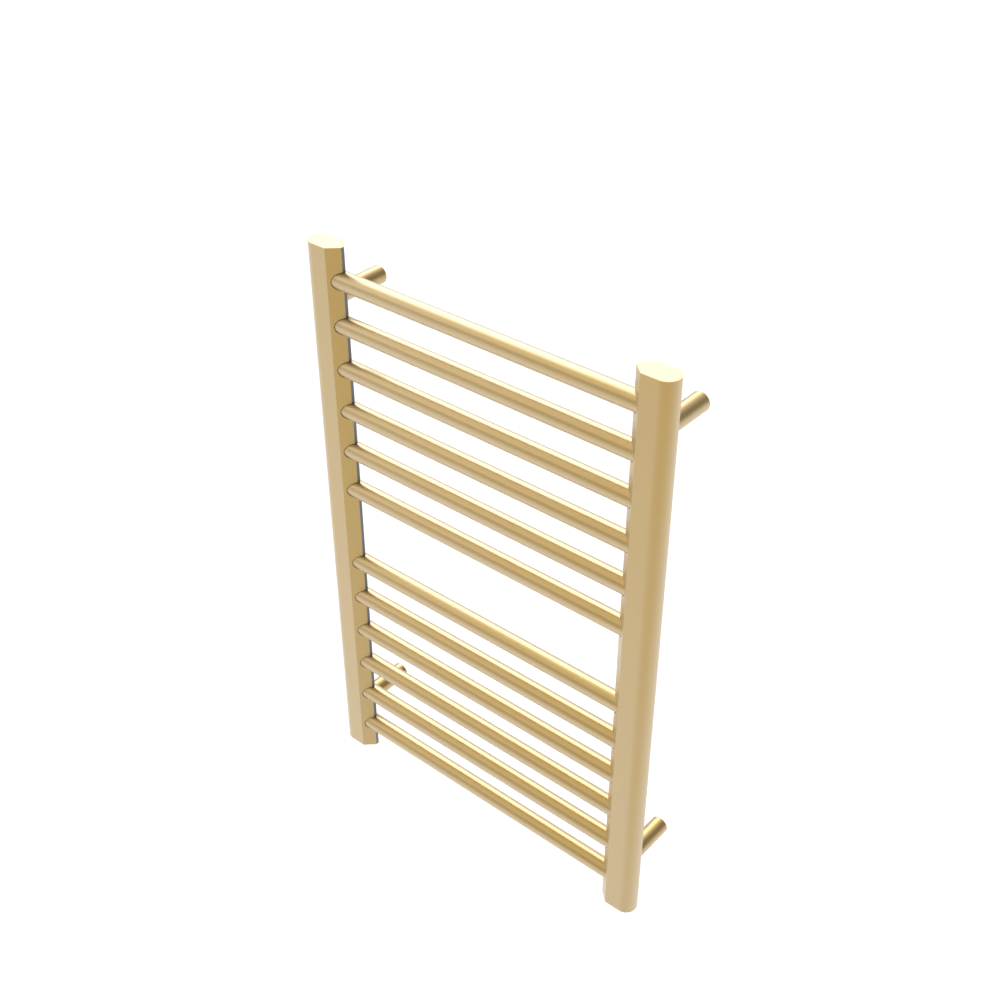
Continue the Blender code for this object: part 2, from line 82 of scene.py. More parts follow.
BARS = [f"bar_{number:02d}" for number in range(1, 13)]
SIDES = {"left": -1, "right": 1}
LEVELS = ("top", "bottom")
CORNERS = [f"{level}_{side}" for side in SIDES for level in LEVELS]
WIRED_CORNER = "bottom_right"
POLES = ("earth", "neutral", "live")
RACK = "rack"
WALL = "wall_fixings"

SCREW_ALONG = (-0.0035, 0.0035)     # clamp screws, from the middle of the terminal block
LEAD_INTO_BLOCK = 0.004             # leads end this far in front of the middle of the block
LEAD_STEPS = (0.0, 0.0075, 0.015)   # straight run of a lead, from its end
CLAMP_DIAMETER = 0.0018             # clamp screws of the terminal block
CLAMP_PITCH = 0.0004
CLAMP_SINK = 0.0012                 # head below the top of the block
CLAMP_SLOT = (0.00036, 0.0006)      # width and depth of the slot
WELL_RADIUS = 0.0013                # wells over the clamp screws
TAPPED_RADIUS = 0.00095             # holes for them in the terminals
THIN_RIM = 0.00012                  # radius of the edges of thin brass
CASE_EDGE = 0.0007                  # radius of the edges of the cut-out's case
BLOCK_EDGE = 0.0006                 # radius of the edges of the terminal block
OVERRUN = 0.001                     # how far a cutter passes the face that it cuts
HAIRLINE = 0.0001                   # gap between pieces that touch
TAB_HALF_WIDTH = 0.0017             # tab of the earth ring
THREAD_DEPTH = 0.6                  # of a thread, as a share of its pitch

# Bends of the leads: across and in front of the wall, then height from the terminal block
LIVE_BENDS = [(0.2402, -0.0680, -0.0005), (0.2425, -0.0765, -0.0025), (0.2470, -0.0830, -0.0023)]
NEUTRAL_BENDS = [(0.2349, -0.0660, 0.0019), (0.2347, -0.0765, 0.0072)]
EARTH_BENDS = [(0.2302, -0.0660, -0.0008), (0.2310, -0.0745, -0.0033), (0.2330, -0.0765, -0.0133),
               (0.2400, -0.0765, -0.0333), (0.2460, -0.0780, -0.0533)]

# Azimuth from the front, elevation and width in degrees, and brightness
SOFT_LIGHTS = {
    "key_wide": (225, 45, 60, 0.7),
    "key": (225, 45, 30, 1.5),
    "key_low": (222, 32, 28, 1.2),
    "back_low": (212, 22, 32, 0.8),
    "back": (180, 50, 50, 0.35),
    "top": (200, 75, 60, 0.5),
    "top_left": (248, 60, 50, 1.0),
    "left": (300, 50, 70, 0.75),
    "left_low": (255, 30, 50, 0.25),
    "front_left": (320, 20, 50, 0.45),
}

SMOOTH_ANGLE = math.radians(28)
WELD = 1e-6

ALONG_X = Matrix.Rotation(math.pi / 2, 4, "Y")
ALONG_Y = Matrix.Rotation(-math.pi / 2, 4, "X")
UPRIGHT = Matrix.Identity(4)

GRAIN_INPUTS = [
    ("Vector", "NodeSocketVector", None), ("Stretch", "NodeSocketVector", (1.0, 1.0, 1.0)),
    ("Size", "NodeSocketFloat", 0.0016), ("Roughness", "NodeSocketFloat", 0.33),
    ("Roughness Spread", "NodeSocketFloat", 0.05)]
GRAIN_OUTPUTS = [("Tone", "NodeSocketFloat"), ("Roughness", "NodeSocketFloat"),
                 ("Height", "NodeSocketFloat")]
PLACING_INPUTS = [("Place", "NodeSocketVector", None), ("Turn", "NodeSocketVector", None),
                  ("Material", "NodeSocketMaterial", None)]
MESH_OUTPUT = [("Mesh", "NodeSocketGeometry")]


def length(name, default, description):
    return FloatProperty(name=name, description=description, default=default, min=0.0,
                         precision=5, subtype="DISTANCE", unit="LENGTH")


def colour(name, default, description):
    return FloatVectorProperty(name=name, description=description, default=default, size=3,
                               min=0.0, max=1.0, subtype="COLOR")


def share(name, default, description):
    return FloatProperty(name=name, description=description, default=default, min=0.0, max=1.0,
                         subtype="FACTOR")


# How far the painted sheen reaches in from the edges. The painted sheen is base colour paled where
# a face is seen edge-on, standing in for a reflection.
def spread(piece_name, default):
    return FloatProperty(name=f"{piece_name} Sheen Spread", default=default, min=0.0, max=20.0,
                         description="How far the sheen spreads in from the edge-on parts")


# Settings


class PostSettings(PropertyGroup):
    tip: length("Tip", 0.005, "Width of the narrow flat at the tip of the V")
    chamfer: length("V Length", 0.014, "Length of the V-shaped side, across the rack")
    wall: length("Wall", 0.0015, "Wall thickness of the post")
    edge: length("Edge Radius", 0.0005, "Radius of the long edges")
    rim: length("Rim Radius", 0.0003, "Radius of the edges at the ends")
    joint: length("Joint Width", 0.0006, "Width of the joint round each bar and standoff")
    cap_seam: length("Cap Seam", 0.00003, "Seam round an end cap, and the radius of its edges")
    round_steps: IntProperty(name="Round Steps", description="Facets of the half-round side",
                             default=48, min=8)


class TubeSettings(PropertyGroup):
    bar_wall: length("Bar Wall", 0.0012, "Wall thickness of the bars")
    bar_rim: length("Bar Rim", 0.0002, "Radius of the edges at a bar's ends")
    standoff_bore: length("Standoff Bore", 0.020, "Bore that slides over the wall boss")
    standoff_rim: length("Standoff Rim", 0.0008, "Radius of the edge at the wall end")
    sides: IntProperty(name="Sides", description="Facets round a tube", default=96, min=12)


class FixingSettings(PropertyGroup):
    boss_chamfer: length("Boss Chamfer", 0.0006, "Chamfer round the ends of a wall boss")
    boss_flat: length("Boss Flat", 0.0078, "From a wall boss's axis to its milled flat")
    wall_screw: length("Wall Screw Hole", 0.0045, "Hole for a wall screw")
    wall_sink: length("Wall Screw Sink", 0.0085, "Mouth of the wall screw's countersink")
    wired_shift: length("Wired Shift", 0.0043,
                        "Screw and wire holes of the wired boss, either side of its axis")
    wire_hole: length("Wire Hole", 0.008, "Hole for the supply through the wired boss")
    bush_bore: length("Bush Bore", 0.0054, "Bore of the rubber bush")
    bush_gap: length("Bush Gap", 0.00025, "Clearance of the bush in the wire hole")
    bush_edge: length("Bush Edge", 0.00025, "Radius of the bush's edges")
    bush_flange: length("Bush Flange", 0.001, "Thickness of the rubber bush's flange")
    tapped_gap: length("Tapped Gap", 0.00015, "Clearance round a set screw in its standoff")
    screw_pitch: length("Screw Pitch", 0.0008, "Thread pitch of the set screws")
    screw_point: length("Screw Point", 0.0008, "Chamfer at a set screw's tip")
    screw_key: length("Screw Key", 0.0025, "Across the flats of a set screw's hex socket")
    screw_key_depth: length("Screw Key Depth", 0.002, "Depth of a set screw's hex socket")


class CircuitSettings(PropertyGroup):
    cable: length("Cable", 0.004, "Diameter of the heating cable")
    start_turn: length("Start Turn", 0.014, "Radius of the heating cable's first turn")
    lead: length("Lead", 0.0018, "Diameter of the leads")
    terminal_bore: length("Terminal Bore", 0.0024, "Bore of the brass terminals")
    terminal_pitch: length("Terminal Pitch", 0.0048, "Distance between the terminals")
    block_hole: length("Block Hole", 0.004, "Holes of the terminal block")
    stud_pitch: length("Stud Pitch", 0.0007, "Thread pitch of the earth stud")
    nut_flats: length("Nut", 0.007, "Across the flats of the earth nut")


class FinishSettings(PropertyGroup):
    gold: colour("Gold", (0.47, 0.312, 0.102), "Colour of the satin gold plating")
    gold_deep: colour("Deep Gold", (0.425, 0.28, 0.086), "Colour in the low spots of the grain")
    # Painted sheen: the pale colour that the gold is mixed towards where a face is seen edge-on,
    # standing in for a reflection. Its fall and its spread for each piece follow.
    painted_sheen: colour("Gold Sheen", (0.575, 0.46, 0.29), "Colour of the gold where it is seen edge-on")
    painted_sheen_fall: FloatProperty(name="Sheen Fall", default=2.0, min=0.5, max=8.0,
                              description="How fast the sheen fades from the edge")
    painted_sheen_post: spread("Post", 6)
    painted_sheen_bar: spread("Bar", 12)
    painted_sheen_standoff: spread("Standoff", 4)
    roughness: share("Roughness", 0.37, "Roughness of the satin gold")
    lacquer: share("Lacquer", 0.2, "Weight of the clear lacquer over the gold")
    lacquer_index: FloatProperty(name="Lacquer Index", default=1.55, min=1.0, max=3.0,
                                 description="Refractive index of the lacquer")
    grain: length("Grain", 0.0016, "Size of the satin finish's mottling")
    flat_grey: colour("Tip Grey", (0.19, 0.20, 0.23), "Colour of the narrow flat between the bars")


class StudioSettings(PropertyGroup):
    azimuth: FloatProperty(name="Camera Azimuth", description="Turn of the camera from the front",
                           default=math.radians(40.05), subtype="ANGLE")
    elevation: FloatProperty(name="Camera Elevation", description="Height angle of the camera",
                             default=math.radians(35.208), subtype="ANGLE")
    distance: length("Camera Distance", 1.622, "From the camera to the point that it looks at")
    aim: FloatVectorProperty(name="Camera Aim", description="Point that the camera looks at",
                             default=(0.0291, -0.0845, 0.1508), size=3, subtype="XYZ_LENGTH")
    lens: FloatProperty(name="Lens", description="Focal length", default=50.0,
                        subtype="DISTANCE_CAMERA")
    floor_drop: length("Floor Drop", 0.60, "Height of the rack above the floor")
    floor: colour("Floor", (0.96, 0.96, 0.955), "Colour of the pale floor")
    room: FloatProperty(name="Room Light", description="Strength of the even light all round",
                        default=0.4, min=0.0)


class WarmerSettings(PropertyGroup):
    post: PointerProperty(type=PostSettings)
    tube: PointerProperty(type=TubeSettings)
    fixing: PointerProperty(type=FixingSettings)
    circuit: PointerProperty(type=CircuitSettings)
    finish: PointerProperty(type=FinishSettings)
    studio: PointerProperty(type=StudioSettings)


def settings():
    return bpy.context.scene.towel_warmer


# Shader nodes


def add_node(tree, kind, inputs=None, **attributes):
    """Add a node; an input takes a plain value, a socket, or another node's first output."""
    node = tree.nodes.new(kind)
    for name, value in attributes.items():
        setattr(node, name, value)
    for name, value in (inputs or {}).items():
        if isinstance(value, bpy.types.Node):
            value = value.outputs[0]
        if isinstance(value, bpy.types.NodeSocket):
            tree.links.new(value, node.inputs[name])
        else:
            node.inputs[name].default_value = value
    return node


def maths(tree, operation, *values):
    return add_node(tree, "ShaderNodeMath", dict(enumerate(values)), operation=operation)


def new_group(name, kind, inputs, outputs):
    """A node group: (tree, sockets that it is given, its output node)."""
    tree = bpy.data.node_groups.new(name, kind)
    for socket_name, socket_type, default in inputs:
        socket = tree.interface.new_socket(socket_name, in_out="INPUT", socket_type=socket_type)
        if default is not None:
            socket.default_value = default
    for socket_name, socket_type in outputs:
        tree.interface.new_socket(socket_name, in_out="OUTPUT", socket_type=socket_type)
    return tree, tree.nodes.new("NodeGroupInput").outputs, tree.nodes.new("NodeGroupOutput")


def satin_grain_group():
    """Mottling of a satin surface: a soft one for tone and a fine one for bumps."""
    known = bpy.data.node_groups.get("satin_grain")
    if known:
        return known
    tree, given, end = new_group("satin_grain", "ShaderNodeTree", GRAIN_INPUTS, GRAIN_OUTPUTS)
    place = add_node(tree, "ShaderNodeVectorMath", {0: given["Vector"], 1: given["Stretch"]},
                     operation="MULTIPLY")
    scale = maths(tree, "DIVIDE", 1.0, given["Size"])
    soft = add_node(tree, "ShaderNodeTexNoise",
                    {"Vector": place, "Scale": scale, "Detail": 3.0, "Roughness": 0.55})
    fine = add_node(tree, "ShaderNodeTexNoise", {
        "Vector": place, "Scale": maths(tree, "MULTIPLY", scale, 5.0), "Detail": 2.0,
        "Roughness": 0.6})
    spread = maths(tree, "MULTIPLY_ADD", maths(tree, "SUBTRACT", soft, 0.5),
                   given["Roughness Spread"], given["Roughness"])
    for name, node in (("Tone", soft), ("Roughness", spread), ("Height", fine)):
        tree.links.new(node.outputs[0], end.inputs[name])
    return tree


def new_material(name):
    """An empty material with its Principled shader: (material, tree, shader)."""
    material = bpy.data.materials.new(name)
    material.use_nodes = True
    tree = material.node_tree
    return material, tree, tree.nodes["Principled BSDF"]


def grained(name, light, deep, roughness, metallic, stretch=(1.0, 1.0, 1.0), size=0.0016,
            bump=0.00001):
    """A surface with the satin grain in its colour, roughness and height."""
    material, tree, shader = new_material(name)
    places = add_node(tree, "ShaderNodeTexCoord")
    grain = add_node(tree, "ShaderNodeGroup", node_tree=satin_grain_group())
    grain.inputs["Stretch"].default_value = stretch
    grain.inputs["Size"].default_value = size
    grain.inputs["Roughness"].default_value = roughness
    tree.links.new(places.outputs["Object"], grain.inputs["Vector"])
    tone = add_node(tree, "ShaderNodeMix", {
        "A": (*deep, 1.0), "B": (*light, 1.0), "Factor": grain.outputs["Tone"]}, data_type="RGBA")
    relief = add_node(tree, "ShaderNodeBump", {
        "Strength": 0.5, "Distance": bump, "Height": grain.outputs["Height"]})
    tree.links.new(tone.outputs["Result"], shader.inputs["Base Color"])
    tree.links.new(grain.outputs["Roughness"], shader.inputs["Roughness"])
    tree.links.new(relief.outputs["Normal"], shader.inputs["Normal"])
    shader.inputs["Metallic"].default_value = metallic
    return material


def satin_gold_and_painted_sheen(name, stretch, painted_sheen_spread):
    """Satin gold under a thin clear lacquer, with a painted sheen that pales its colour where seen
    edge-on.
    """
    known = bpy.data.materials.get(name)
    if known:
        return known
    finish = settings().finish
    material = grained(name, finish.gold, finish.gold_deep, finish.roughness, 1.0, stretch,
                       finish.grain)
    tree = material.node_tree
    shader = tree.nodes["Principled BSDF"]
    base = shader.inputs["Base Color"]
    # Painted sheen: mix the base colour towards the pale sheen colour by how edge-on the face is
    # seen. The share is 1 - (1 - facing^fall)^spread.
    facing = add_node(tree, "ShaderNodeLayerWeight", {"Blend": 0.5})
    grazing = maths(tree, "POWER", facing.outputs["Facing"], finish.painted_sheen_fall)
    plain = maths(tree, "POWER", maths(tree, "SUBTRACT", 1.0, grazing), painted_sheen_spread)
    painted_sheen = add_node(tree, "ShaderNodeMix", {
        "A": base.links[0].from_socket, "B": (*finish.painted_sheen, 1.0),
        "Factor": maths(tree, "SUBTRACT", 1.0, plain)}, data_type="RGBA")
    tree.links.new(painted_sheen.outputs["Result"], base)
    shader.inputs["Coat Weight"].default_value = finish.lacquer
    shader.inputs["Coat Roughness"].default_value = finish.roughness
    shader.inputs["Coat IOR"].default_value = finish.lacquer_index
    return material


def gold_post():
    return satin_gold_and_painted_sheen("satin_gold_post", (1.0, 1.0, 0.5), settings().finish.painted_sheen_post)


def gold_bar():
    return satin_gold_and_painted_sheen("satin_gold_bar", (0.5, 1.0, 1.0), settings().finish.painted_sheen_bar)


def gold_standoff():
    return satin_gold_and_painted_sheen("satin_gold_standoff", (1.0, 0.5, 1.0), settings().finish.painted_sheen_standoff)


def tip_grey():
    grey = settings().finish.flat_grey
    return bpy.data.materials.get("tip_grey") or grained(
        "tip_grey", grey, [0.85 * value for value in grey], 0.5, 0.0)


PLAIN_FINISHES = {
    "zinc_plate": ((0.66, 0.67, 0.68), (0.55, 0.56, 0.58), 0.34, 1.0, 0.0007, 0.00001),
    "black_oxide": ((0.06, 0.06, 0.065), (0.035, 0.035, 0.04), 0.45, 1.0, 0.0005, 0.00001),
    "silicone_sheath": ((0.45, 0.075, 0.045), (0.38, 0.06, 0.035), 0.55, 0.0, 0.0009, 0.00001),
    "moulded_nylon": ((0.84, 0.83, 0.79), (0.78, 0.77, 0.72), 0.45, 0.0, 0.0004, 0.000015),
}


def plain_finish(name):
    """A finish made here, or else one that comes with the frame."""
    known = bpy.data.materials.get(name)
    if known:
        return known
    light, deep, roughness, metallic, size, bump = PLAIN_FINISHES[name]
    return grained(name, light, deep, roughness, metallic, size=size, bump=bump)


# Mesh making


def new_piece(name, mesh):
    piece = bpy.data.objects.new(name, mesh)
    bpy.context.scene.collection.objects.link(piece)
    return piece


def evaluated_mesh(piece):
    graph = bpy.context.evaluated_depsgraph_get()
    return bpy.data.meshes.new_from_object(piece.evaluated_get(graph), depsgraph=graph)


def polar(radius, angle):
    return Vector((radius * math.cos(angle), radius * math.sin(angle)))


def mesh_from(name, shape):
    mesh = bpy.data.meshes.new(name)
    shape.to_mesh(mesh)
    shape.free()
    return mesh


def mend(mesh):
    """Join the points that meet, and turn every face outwards."""
    shape = bmesh.new()
    shape.from_mesh(mesh)
    bmesh.ops.remove_doubles(shape, verts=shape.verts, dist=WELD)
    bmesh.ops.recalc_face_normals(shape, faces=shape.faces)
    shape.to_mesh(mesh)
    shape.free()


def settle(piece):
    """Turn a piece's modifiers into plain mesh."""
    mesh = evaluated_mesh(piece)
    piece.modifiers.clear()
    old = piece.data
    piece.data = mesh
    bpy.data.meshes.remove(old)
    mesh.name = piece.name
    return piece


def finish(piece, body, slot_name, node=None, material=None):
    """Give a piece its material and shading, and put it on its body in place of its frame node."""
    if material:
        piece.data.materials.clear()
        piece.data.materials.append(material)
    smooth_shade(piece)
    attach(piece, body)
    if node:
        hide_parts(node)


def smooth_shade(piece):
    """Smooth shading that keeps flats flat beside narrow rounded edges."""
    piece.data.shade_smooth()
    piece.data.set_sharp_from_angle(angle=SMOOTH_ANGLE)
    weighted = piece.modifiers.new("weighted", "WEIGHTED_NORMAL")
    weighted.mode = "FACE_AREA_WITH_ANGLE"
    weighted.weight = 100
    weighted.keep_sharp = True
    return settle(piece)


def rounded(corners, radius, steps, closed=True):
    """Replace each corner of an outline with an arc; an open one keeps its two ends."""
    outline = []
    for i, corner in enumerate(corners):
        if not closed and i in (0, len(corners) - 1):
            outline.append(corner)
            continue
        to_last = (corners[i - 1] - corner).normalized()
        to_next = (corners[(i + 1) % len(corners)] - corner).normalized()
        half = to_last.angle(to_next) / 2
        centre = corner + (to_last + to_next).normalized() * radius / math.sin(half)
        first = corner + to_last * radius / math.tan(half) - centre
        last = corner + to_next * radius / math.tan(half) - centre
        sweep = first.angle(last)
        for k in range(steps + 1):
            t = k / steps
            arc = (math.sin((1 - t) * sweep) * first + math.sin(t * sweep) * last) / math.sin(sweep)
            outline.append(centre + arc)
    return outline


def extruded(name, outlines, low, high, rim):
    """A flat outline with holes in it, from one height to another, with rounded rims."""
    curve = bpy.data.curves.new(name, "CURVE")
    curve.dimensions = "2D"
    curve.fill_mode = "BOTH"
    curve.extrude = (high - low) / 2 - rim
    curve.bevel_depth = rim
    curve.bevel_resolution = 2
    curve.offset = -rim
    for outline in outlines:
        spline = curve.splines.new("POLY")
        spline.points.add(len(outline) - 1)
        for point, place in zip(spline.points, outline):
            point.co = (place.x, place.y, 0.0, 1.0)
        spline.use_cyclic_u = True
    guide = new_piece(name, curve)
    mesh = evaluated_mesh(guide)
    bpy.data.objects.remove(guide)
    bpy.data.curves.remove(curve)
    mend(mesh)
    mesh.transform(Matrix.Translation((0.0, 0.0, (low + high) / 2)))
    return new_piece(name, mesh)


def cylinders(name, places, radius, depth, turn, sides):
    """A cutter of like cylinders."""
    shape = bmesh.new()
    for place in places:
        bmesh.ops.create_cone(shape, cap_ends=True, segments=sides, radius1=radius,
                              radius2=radius, depth=depth, matrix=Matrix.Translation(place) @ turn)
    return new_piece(name, mesh_from(name, shape))


def cut(piece, *cutters, operation="DIFFERENCE"):
    for cutter in cutters:
        if piece.data.materials:
            cutter.data.materials.append(piece.data.materials[0])
        boolean = piece.modifiers.new(cutter.name, "BOOLEAN")
        boolean.operation = operation
        boolean.object = cutter
    settle(piece)
    for cutter in cutters:
        bpy.data.objects.remove(cutter)
    return piece


def turned(name, profile, sides, placement):
    """A profile of (radius, height) turned round Z, then placed."""
    shape = bmesh.new()
    loop = [shape.verts.new((radius, 0.0, height)) for radius, height in profile]
    edges = [shape.edges.new(pair) for pair in zip(loop, loop[1:])]
    if profile[0][0] and profile[-1][0]:
        edges.append(shape.edges.new((loop[-1], loop[0])))
    bmesh.ops.spin(shape, geom=loop + edges, cent=(0.0, 0.0, 0.0), axis=(0.0, 0.0, 1.0),
                   angle=2 * math.pi, steps=sides, use_duplicate=False)
    mesh = mesh_from(name, shape)
    mend(mesh)
    mesh.transform(placement)
    return new_piece(name, mesh)


def rounded_profile(corners, radius, closed=False):
    """A lathe profile with its corners rounded; an open one keeps its ends on the axis."""
    return [tuple(point) for point in rounded([Vector(c) for c in corners], radius, 3, closed)]


def boxes(name, bounds):
    """Boxes in one mesh, each from its lowest to its highest corner."""
    shape = bmesh.new()
    for low, high in bounds:
        bmesh.ops.create_cube(shape, size=1.0, matrix=(
            Matrix.Translation((low + high) / 2) @ Matrix.Diagonal((*(high - low), 1.0))))
    return new_piece(name, mesh_from(name, shape))


def soften(piece, width, segments=3):
    """Round the edges of a moulded piece."""
    bevel = piece.modifiers.new("edges", "BEVEL")
    bevel.width = width
    bevel.segments = segments
    bevel.limit_method = "ANGLE"
    return settle(piece)


def polyline(name, points, turns=None):
    """A chain of edges, with the turning radius at each of its points."""
    mesh = bpy.data.meshes.new(name)
    mesh.from_pydata(points, [(i, i + 1) for i in range(len(points) - 1)], [])
    radii = mesh.attributes.new("turn", "FLOAT", "POINT")
    if turns:
        radii.data.foreach_set("value", turns)
    return mesh


# Geometry Nodes


def finish_tree(tree, geometry, given, end):
    """End a tree with real geometry and its material."""
    real = add_node(tree, "GeometryNodeRealizeInstances", {"Geometry": geometry})
    coated = add_node(tree, "GeometryNodeSetMaterial",
                      {"Geometry": real, "Material": given["Material"]})
    tree.links.new(coated.outputs["Geometry"], end.inputs["Mesh"])


def finish_placed_tree(tree, geometry, given, end):
    """End a tree whose result is turned and moved to its place."""
    placed = add_node(tree, "GeometryNodeTransform", {
        "Geometry": geometry, "Translation": given["Place"], "Rotation": given["Turn"]})
    finish_tree(tree, placed, given, end)


def round_tube_tree():
    """A wall section with rounded rims, swept round a circle and turned along one axis."""
    known = bpy.data.node_groups.get("round_tube")
    if known:
        return known
    tree, given, end = new_group(
        "round_tube", "GeometryNodeTree",
        [("Length", "NodeSocketFloat", 0.1), ("Diameter", "NodeSocketFloat", 0.02),
         ("Wall", "NodeSocketFloat", 0.001), ("Rim", "NodeSocketFloat", 0.0002),
         ("Sides", "NodeSocketInt", 96), *PLACING_INPUTS], MESH_OUTPUT)
    radius = maths(tree, "DIVIDE", maths(tree, "SUBTRACT", given["Diameter"], given["Wall"]), 2.0)
    ring = add_node(tree, "GeometryNodeCurvePrimitiveCircle",
                    {"Resolution": given["Sides"], "Radius": radius})
    section = add_node(tree, "GeometryNodeCurvePrimitiveQuadrilateral",
                       {"Width": given["Wall"], "Height": given["Length"]})
    rims = add_node(tree, "GeometryNodeFilletCurve",
                    {"Curve": section, "Count": 3, "Radius": given["Rim"]}, mode="POLY")
    swept = add_node(tree, "GeometryNodeCurveToMesh", {"Curve": ring, "Profile Curve": rims})
    finish_placed_tree(tree, swept, given, end)
    return tree


def wire_tree():
    """A round wire along a chain of edges, with its corners turned or its whole run smoothed."""
    known = bpy.data.node_groups.get("laid_wire")
    if known:
        return known
    tree, given, end = new_group(
        "laid_wire", "GeometryNodeTree",
        [("Route", "NodeSocketGeometry", None), ("Diameter", "NodeSocketFloat", 0.002),
         ("Smooth", "NodeSocketBool", False), ("Steps", "NodeSocketInt", 12),
         ("Sides", "NodeSocketInt", 16), ("Material", "NodeSocketMaterial", None)], MESH_OUTPUT)
    route = add_node(tree, "GeometryNodeMeshToCurve", {"Mesh": given["Route"]})
    turn = add_node(tree, "GeometryNodeInputNamedAttribute", {"Name": "turn"}, data_type="FLOAT")
    bent = add_node(tree, "GeometryNodeFilletCurve", {
        "Limit Radius": True, "Curve": route, "Count": given["Steps"], "Radius": turn}, mode="POLY")
    flowing = add_node(tree, "GeometryNodeCurveSplineType", {"Curve": route},
                       spline_type="CATMULL_ROM")
    finer = add_node(tree, "GeometryNodeSetSplineResolution",
                     {"Geometry": flowing, "Resolution": given["Steps"]})
    choice = add_node(tree, "GeometryNodeSwitch", {
        "Switch": given["Smooth"], "False": bent, "True": finer}, input_type="GEOMETRY")
    radius = maths(tree, "MULTIPLY", given["Diameter"], 0.5)
    section = add_node(tree, "GeometryNodeCurvePrimitiveCircle",
                       {"Resolution": given["Sides"], "Radius": radius})
    swept = add_node(tree, "GeometryNodeCurveToMesh", {
        "Fill Caps": True, "Curve": choice.outputs["Output"], "Profile Curve": section})
    finish_tree(tree, swept, given, end)
    return tree


def threaded_rod_tree():
    """A rod along Z with a helical thread that fades at its ends, and a chamfered tip."""
    known = bpy.data.node_groups.get("threaded_rod")
    if known:
        return known
    tree, given, end = new_group(
        "threaded_rod", "GeometryNodeTree",
        [("Length", "NodeSocketFloat", 0.004), ("Diameter", "NodeSocketFloat", 0.005),
         ("Pitch", "NodeSocketFloat", 0.0008), ("Depth", "NodeSocketFloat", 0.0004),
         ("Point", "NodeSocketFloat", 0.0), ("Sides", "NodeSocketInt", 48),
         ("Rings", "NodeSocketInt", 48), *PLACING_INPUTS], MESH_OUTPUT)

    def calc(operation, *values):
        return maths(tree, operation, *values)

    radius = calc("MULTIPLY", given["Diameter"], 0.5)
    rod = add_node(tree, "GeometryNodeMeshCylinder", {
        "Vertices": given["Sides"], "Side Segments": given["Rings"], "Radius": radius,
        "Depth": given["Length"]}, fill_type="NGON")
    place = add_node(tree, "GeometryNodeInputPosition")
    x, y, z = add_node(tree, "ShaderNodeSeparateXYZ", {0: place}).outputs
    turn = calc("DIVIDE", calc("ARCTAN2", y, x), 2 * math.pi)
    wave = calc("SUBTRACT", calc("DIVIDE", z, given["Pitch"]), turn)
    ridge = calc("MULTIPLY", calc("PINGPONG", wave, 0.5), 2.0)
    half = calc("MULTIPLY", given["Length"], 0.5)
    from_end = calc("SUBTRACT", half, calc("ABSOLUTE", z))
    fade = calc("MINIMUM", calc("DIVIDE", from_end, given["Pitch"]), 1.0)
    core = calc("SUBTRACT", radius, given["Depth"])
    height = calc("MULTIPLY", calc("MULTIPLY", ridge, fade), given["Depth"])
    from_tip = calc("ADD", z, half)
    chamfer = calc("ADD", calc("SUBTRACT", radius, given["Point"]), from_tip)
    reach = calc("MINIMUM", calc("ADD", core, height), chamfer)
    scale = calc("DIVIDE", reach, radius)
    spread = add_node(tree, "ShaderNodeCombineXYZ", {"X": scale, "Y": scale, "Z": 1.0})
    moved = add_node(tree, "ShaderNodeVectorMath", {0: place, 1: spread}, operation="MULTIPLY")
    threaded = add_node(tree, "GeometryNodeSetPosition", {"Geometry": rod, "Position": moved})
    finish_placed_tree(tree, threaded, given, end)
    return tree


def grown(name, tree, values, mesh=None):
    """Run a Geometry Nodes tree with these inputs and keep its result as a plain mesh."""
    piece = new_piece(name, mesh or bpy.data.meshes.new(name))
    growth = piece.modifiers.new(tree.name, "NODES")
    growth.node_group = tree
    for socket in tree.interface.items_tree:
        if socket.in_out == "INPUT" and socket.name in values:
            growth[socket.identifier] = values[socket.name]
    settle(piece)
    mend(piece.data)
    piece.data.materials.clear()
    piece.data.materials.append(values["Material"])
    piece.data.polygons.foreach_set("material_index", [0] * len(piece.data.polygons))
    return piece


def threaded_rod(name, middle, rod_length, diameter, pitch, depth, material, point=0.0, sides=48,
                 rings=48, turn=UPRIGHT):
    return grown(name, threaded_rod_tree(), {
        "Length": rod_length, "Diameter": diameter, "Pitch": pitch, "Depth": depth,
        "Point": point, "Sides": sides, "Rings": rings, "Place": middle,
        "Turn": turn.to_euler(), "Material": material})


def round_tube(name, middle, tube_length, diameter, wall, rim, turn, material):
    return grown(name, round_tube_tree(), {
        "Length": tube_length, "Diameter": diameter, "Wall": wall, "Rim": rim,
        "Sides": settings().tube.sides, "Place": middle, "Turn": turn.to_euler(),
        "Material": material})


# Pieces


def post_corners(inset):
    """Plan of the right post's V-shaped side and the run of its round side, moved in evenly."""
    post = settings().post
    radius = (POST_HIGH.y - POST_LOW.y) / 2
    middle = (POST_HIGH.y + POST_LOW.y) / 2
    half_tip = post.tip / 2
    slope = Vector((post.chamfer, radius - half_tip)).normalized()
    slant = inset * (1 - slope.x) / slope.y
    tip_x = POST_LOW.x + inset
    shoulder_x = POST_LOW.x + post.chamfer + slant
    tip_y = half_tip - inset * (1 - slope.y) / slope.x
    return radius - inset, middle, [
        Vector((shoulder_x, radius - inset)), Vector((tip_x, tip_y)),
        Vector((tip_x, -tip_y)), Vector((shoulder_x, inset - radius))]


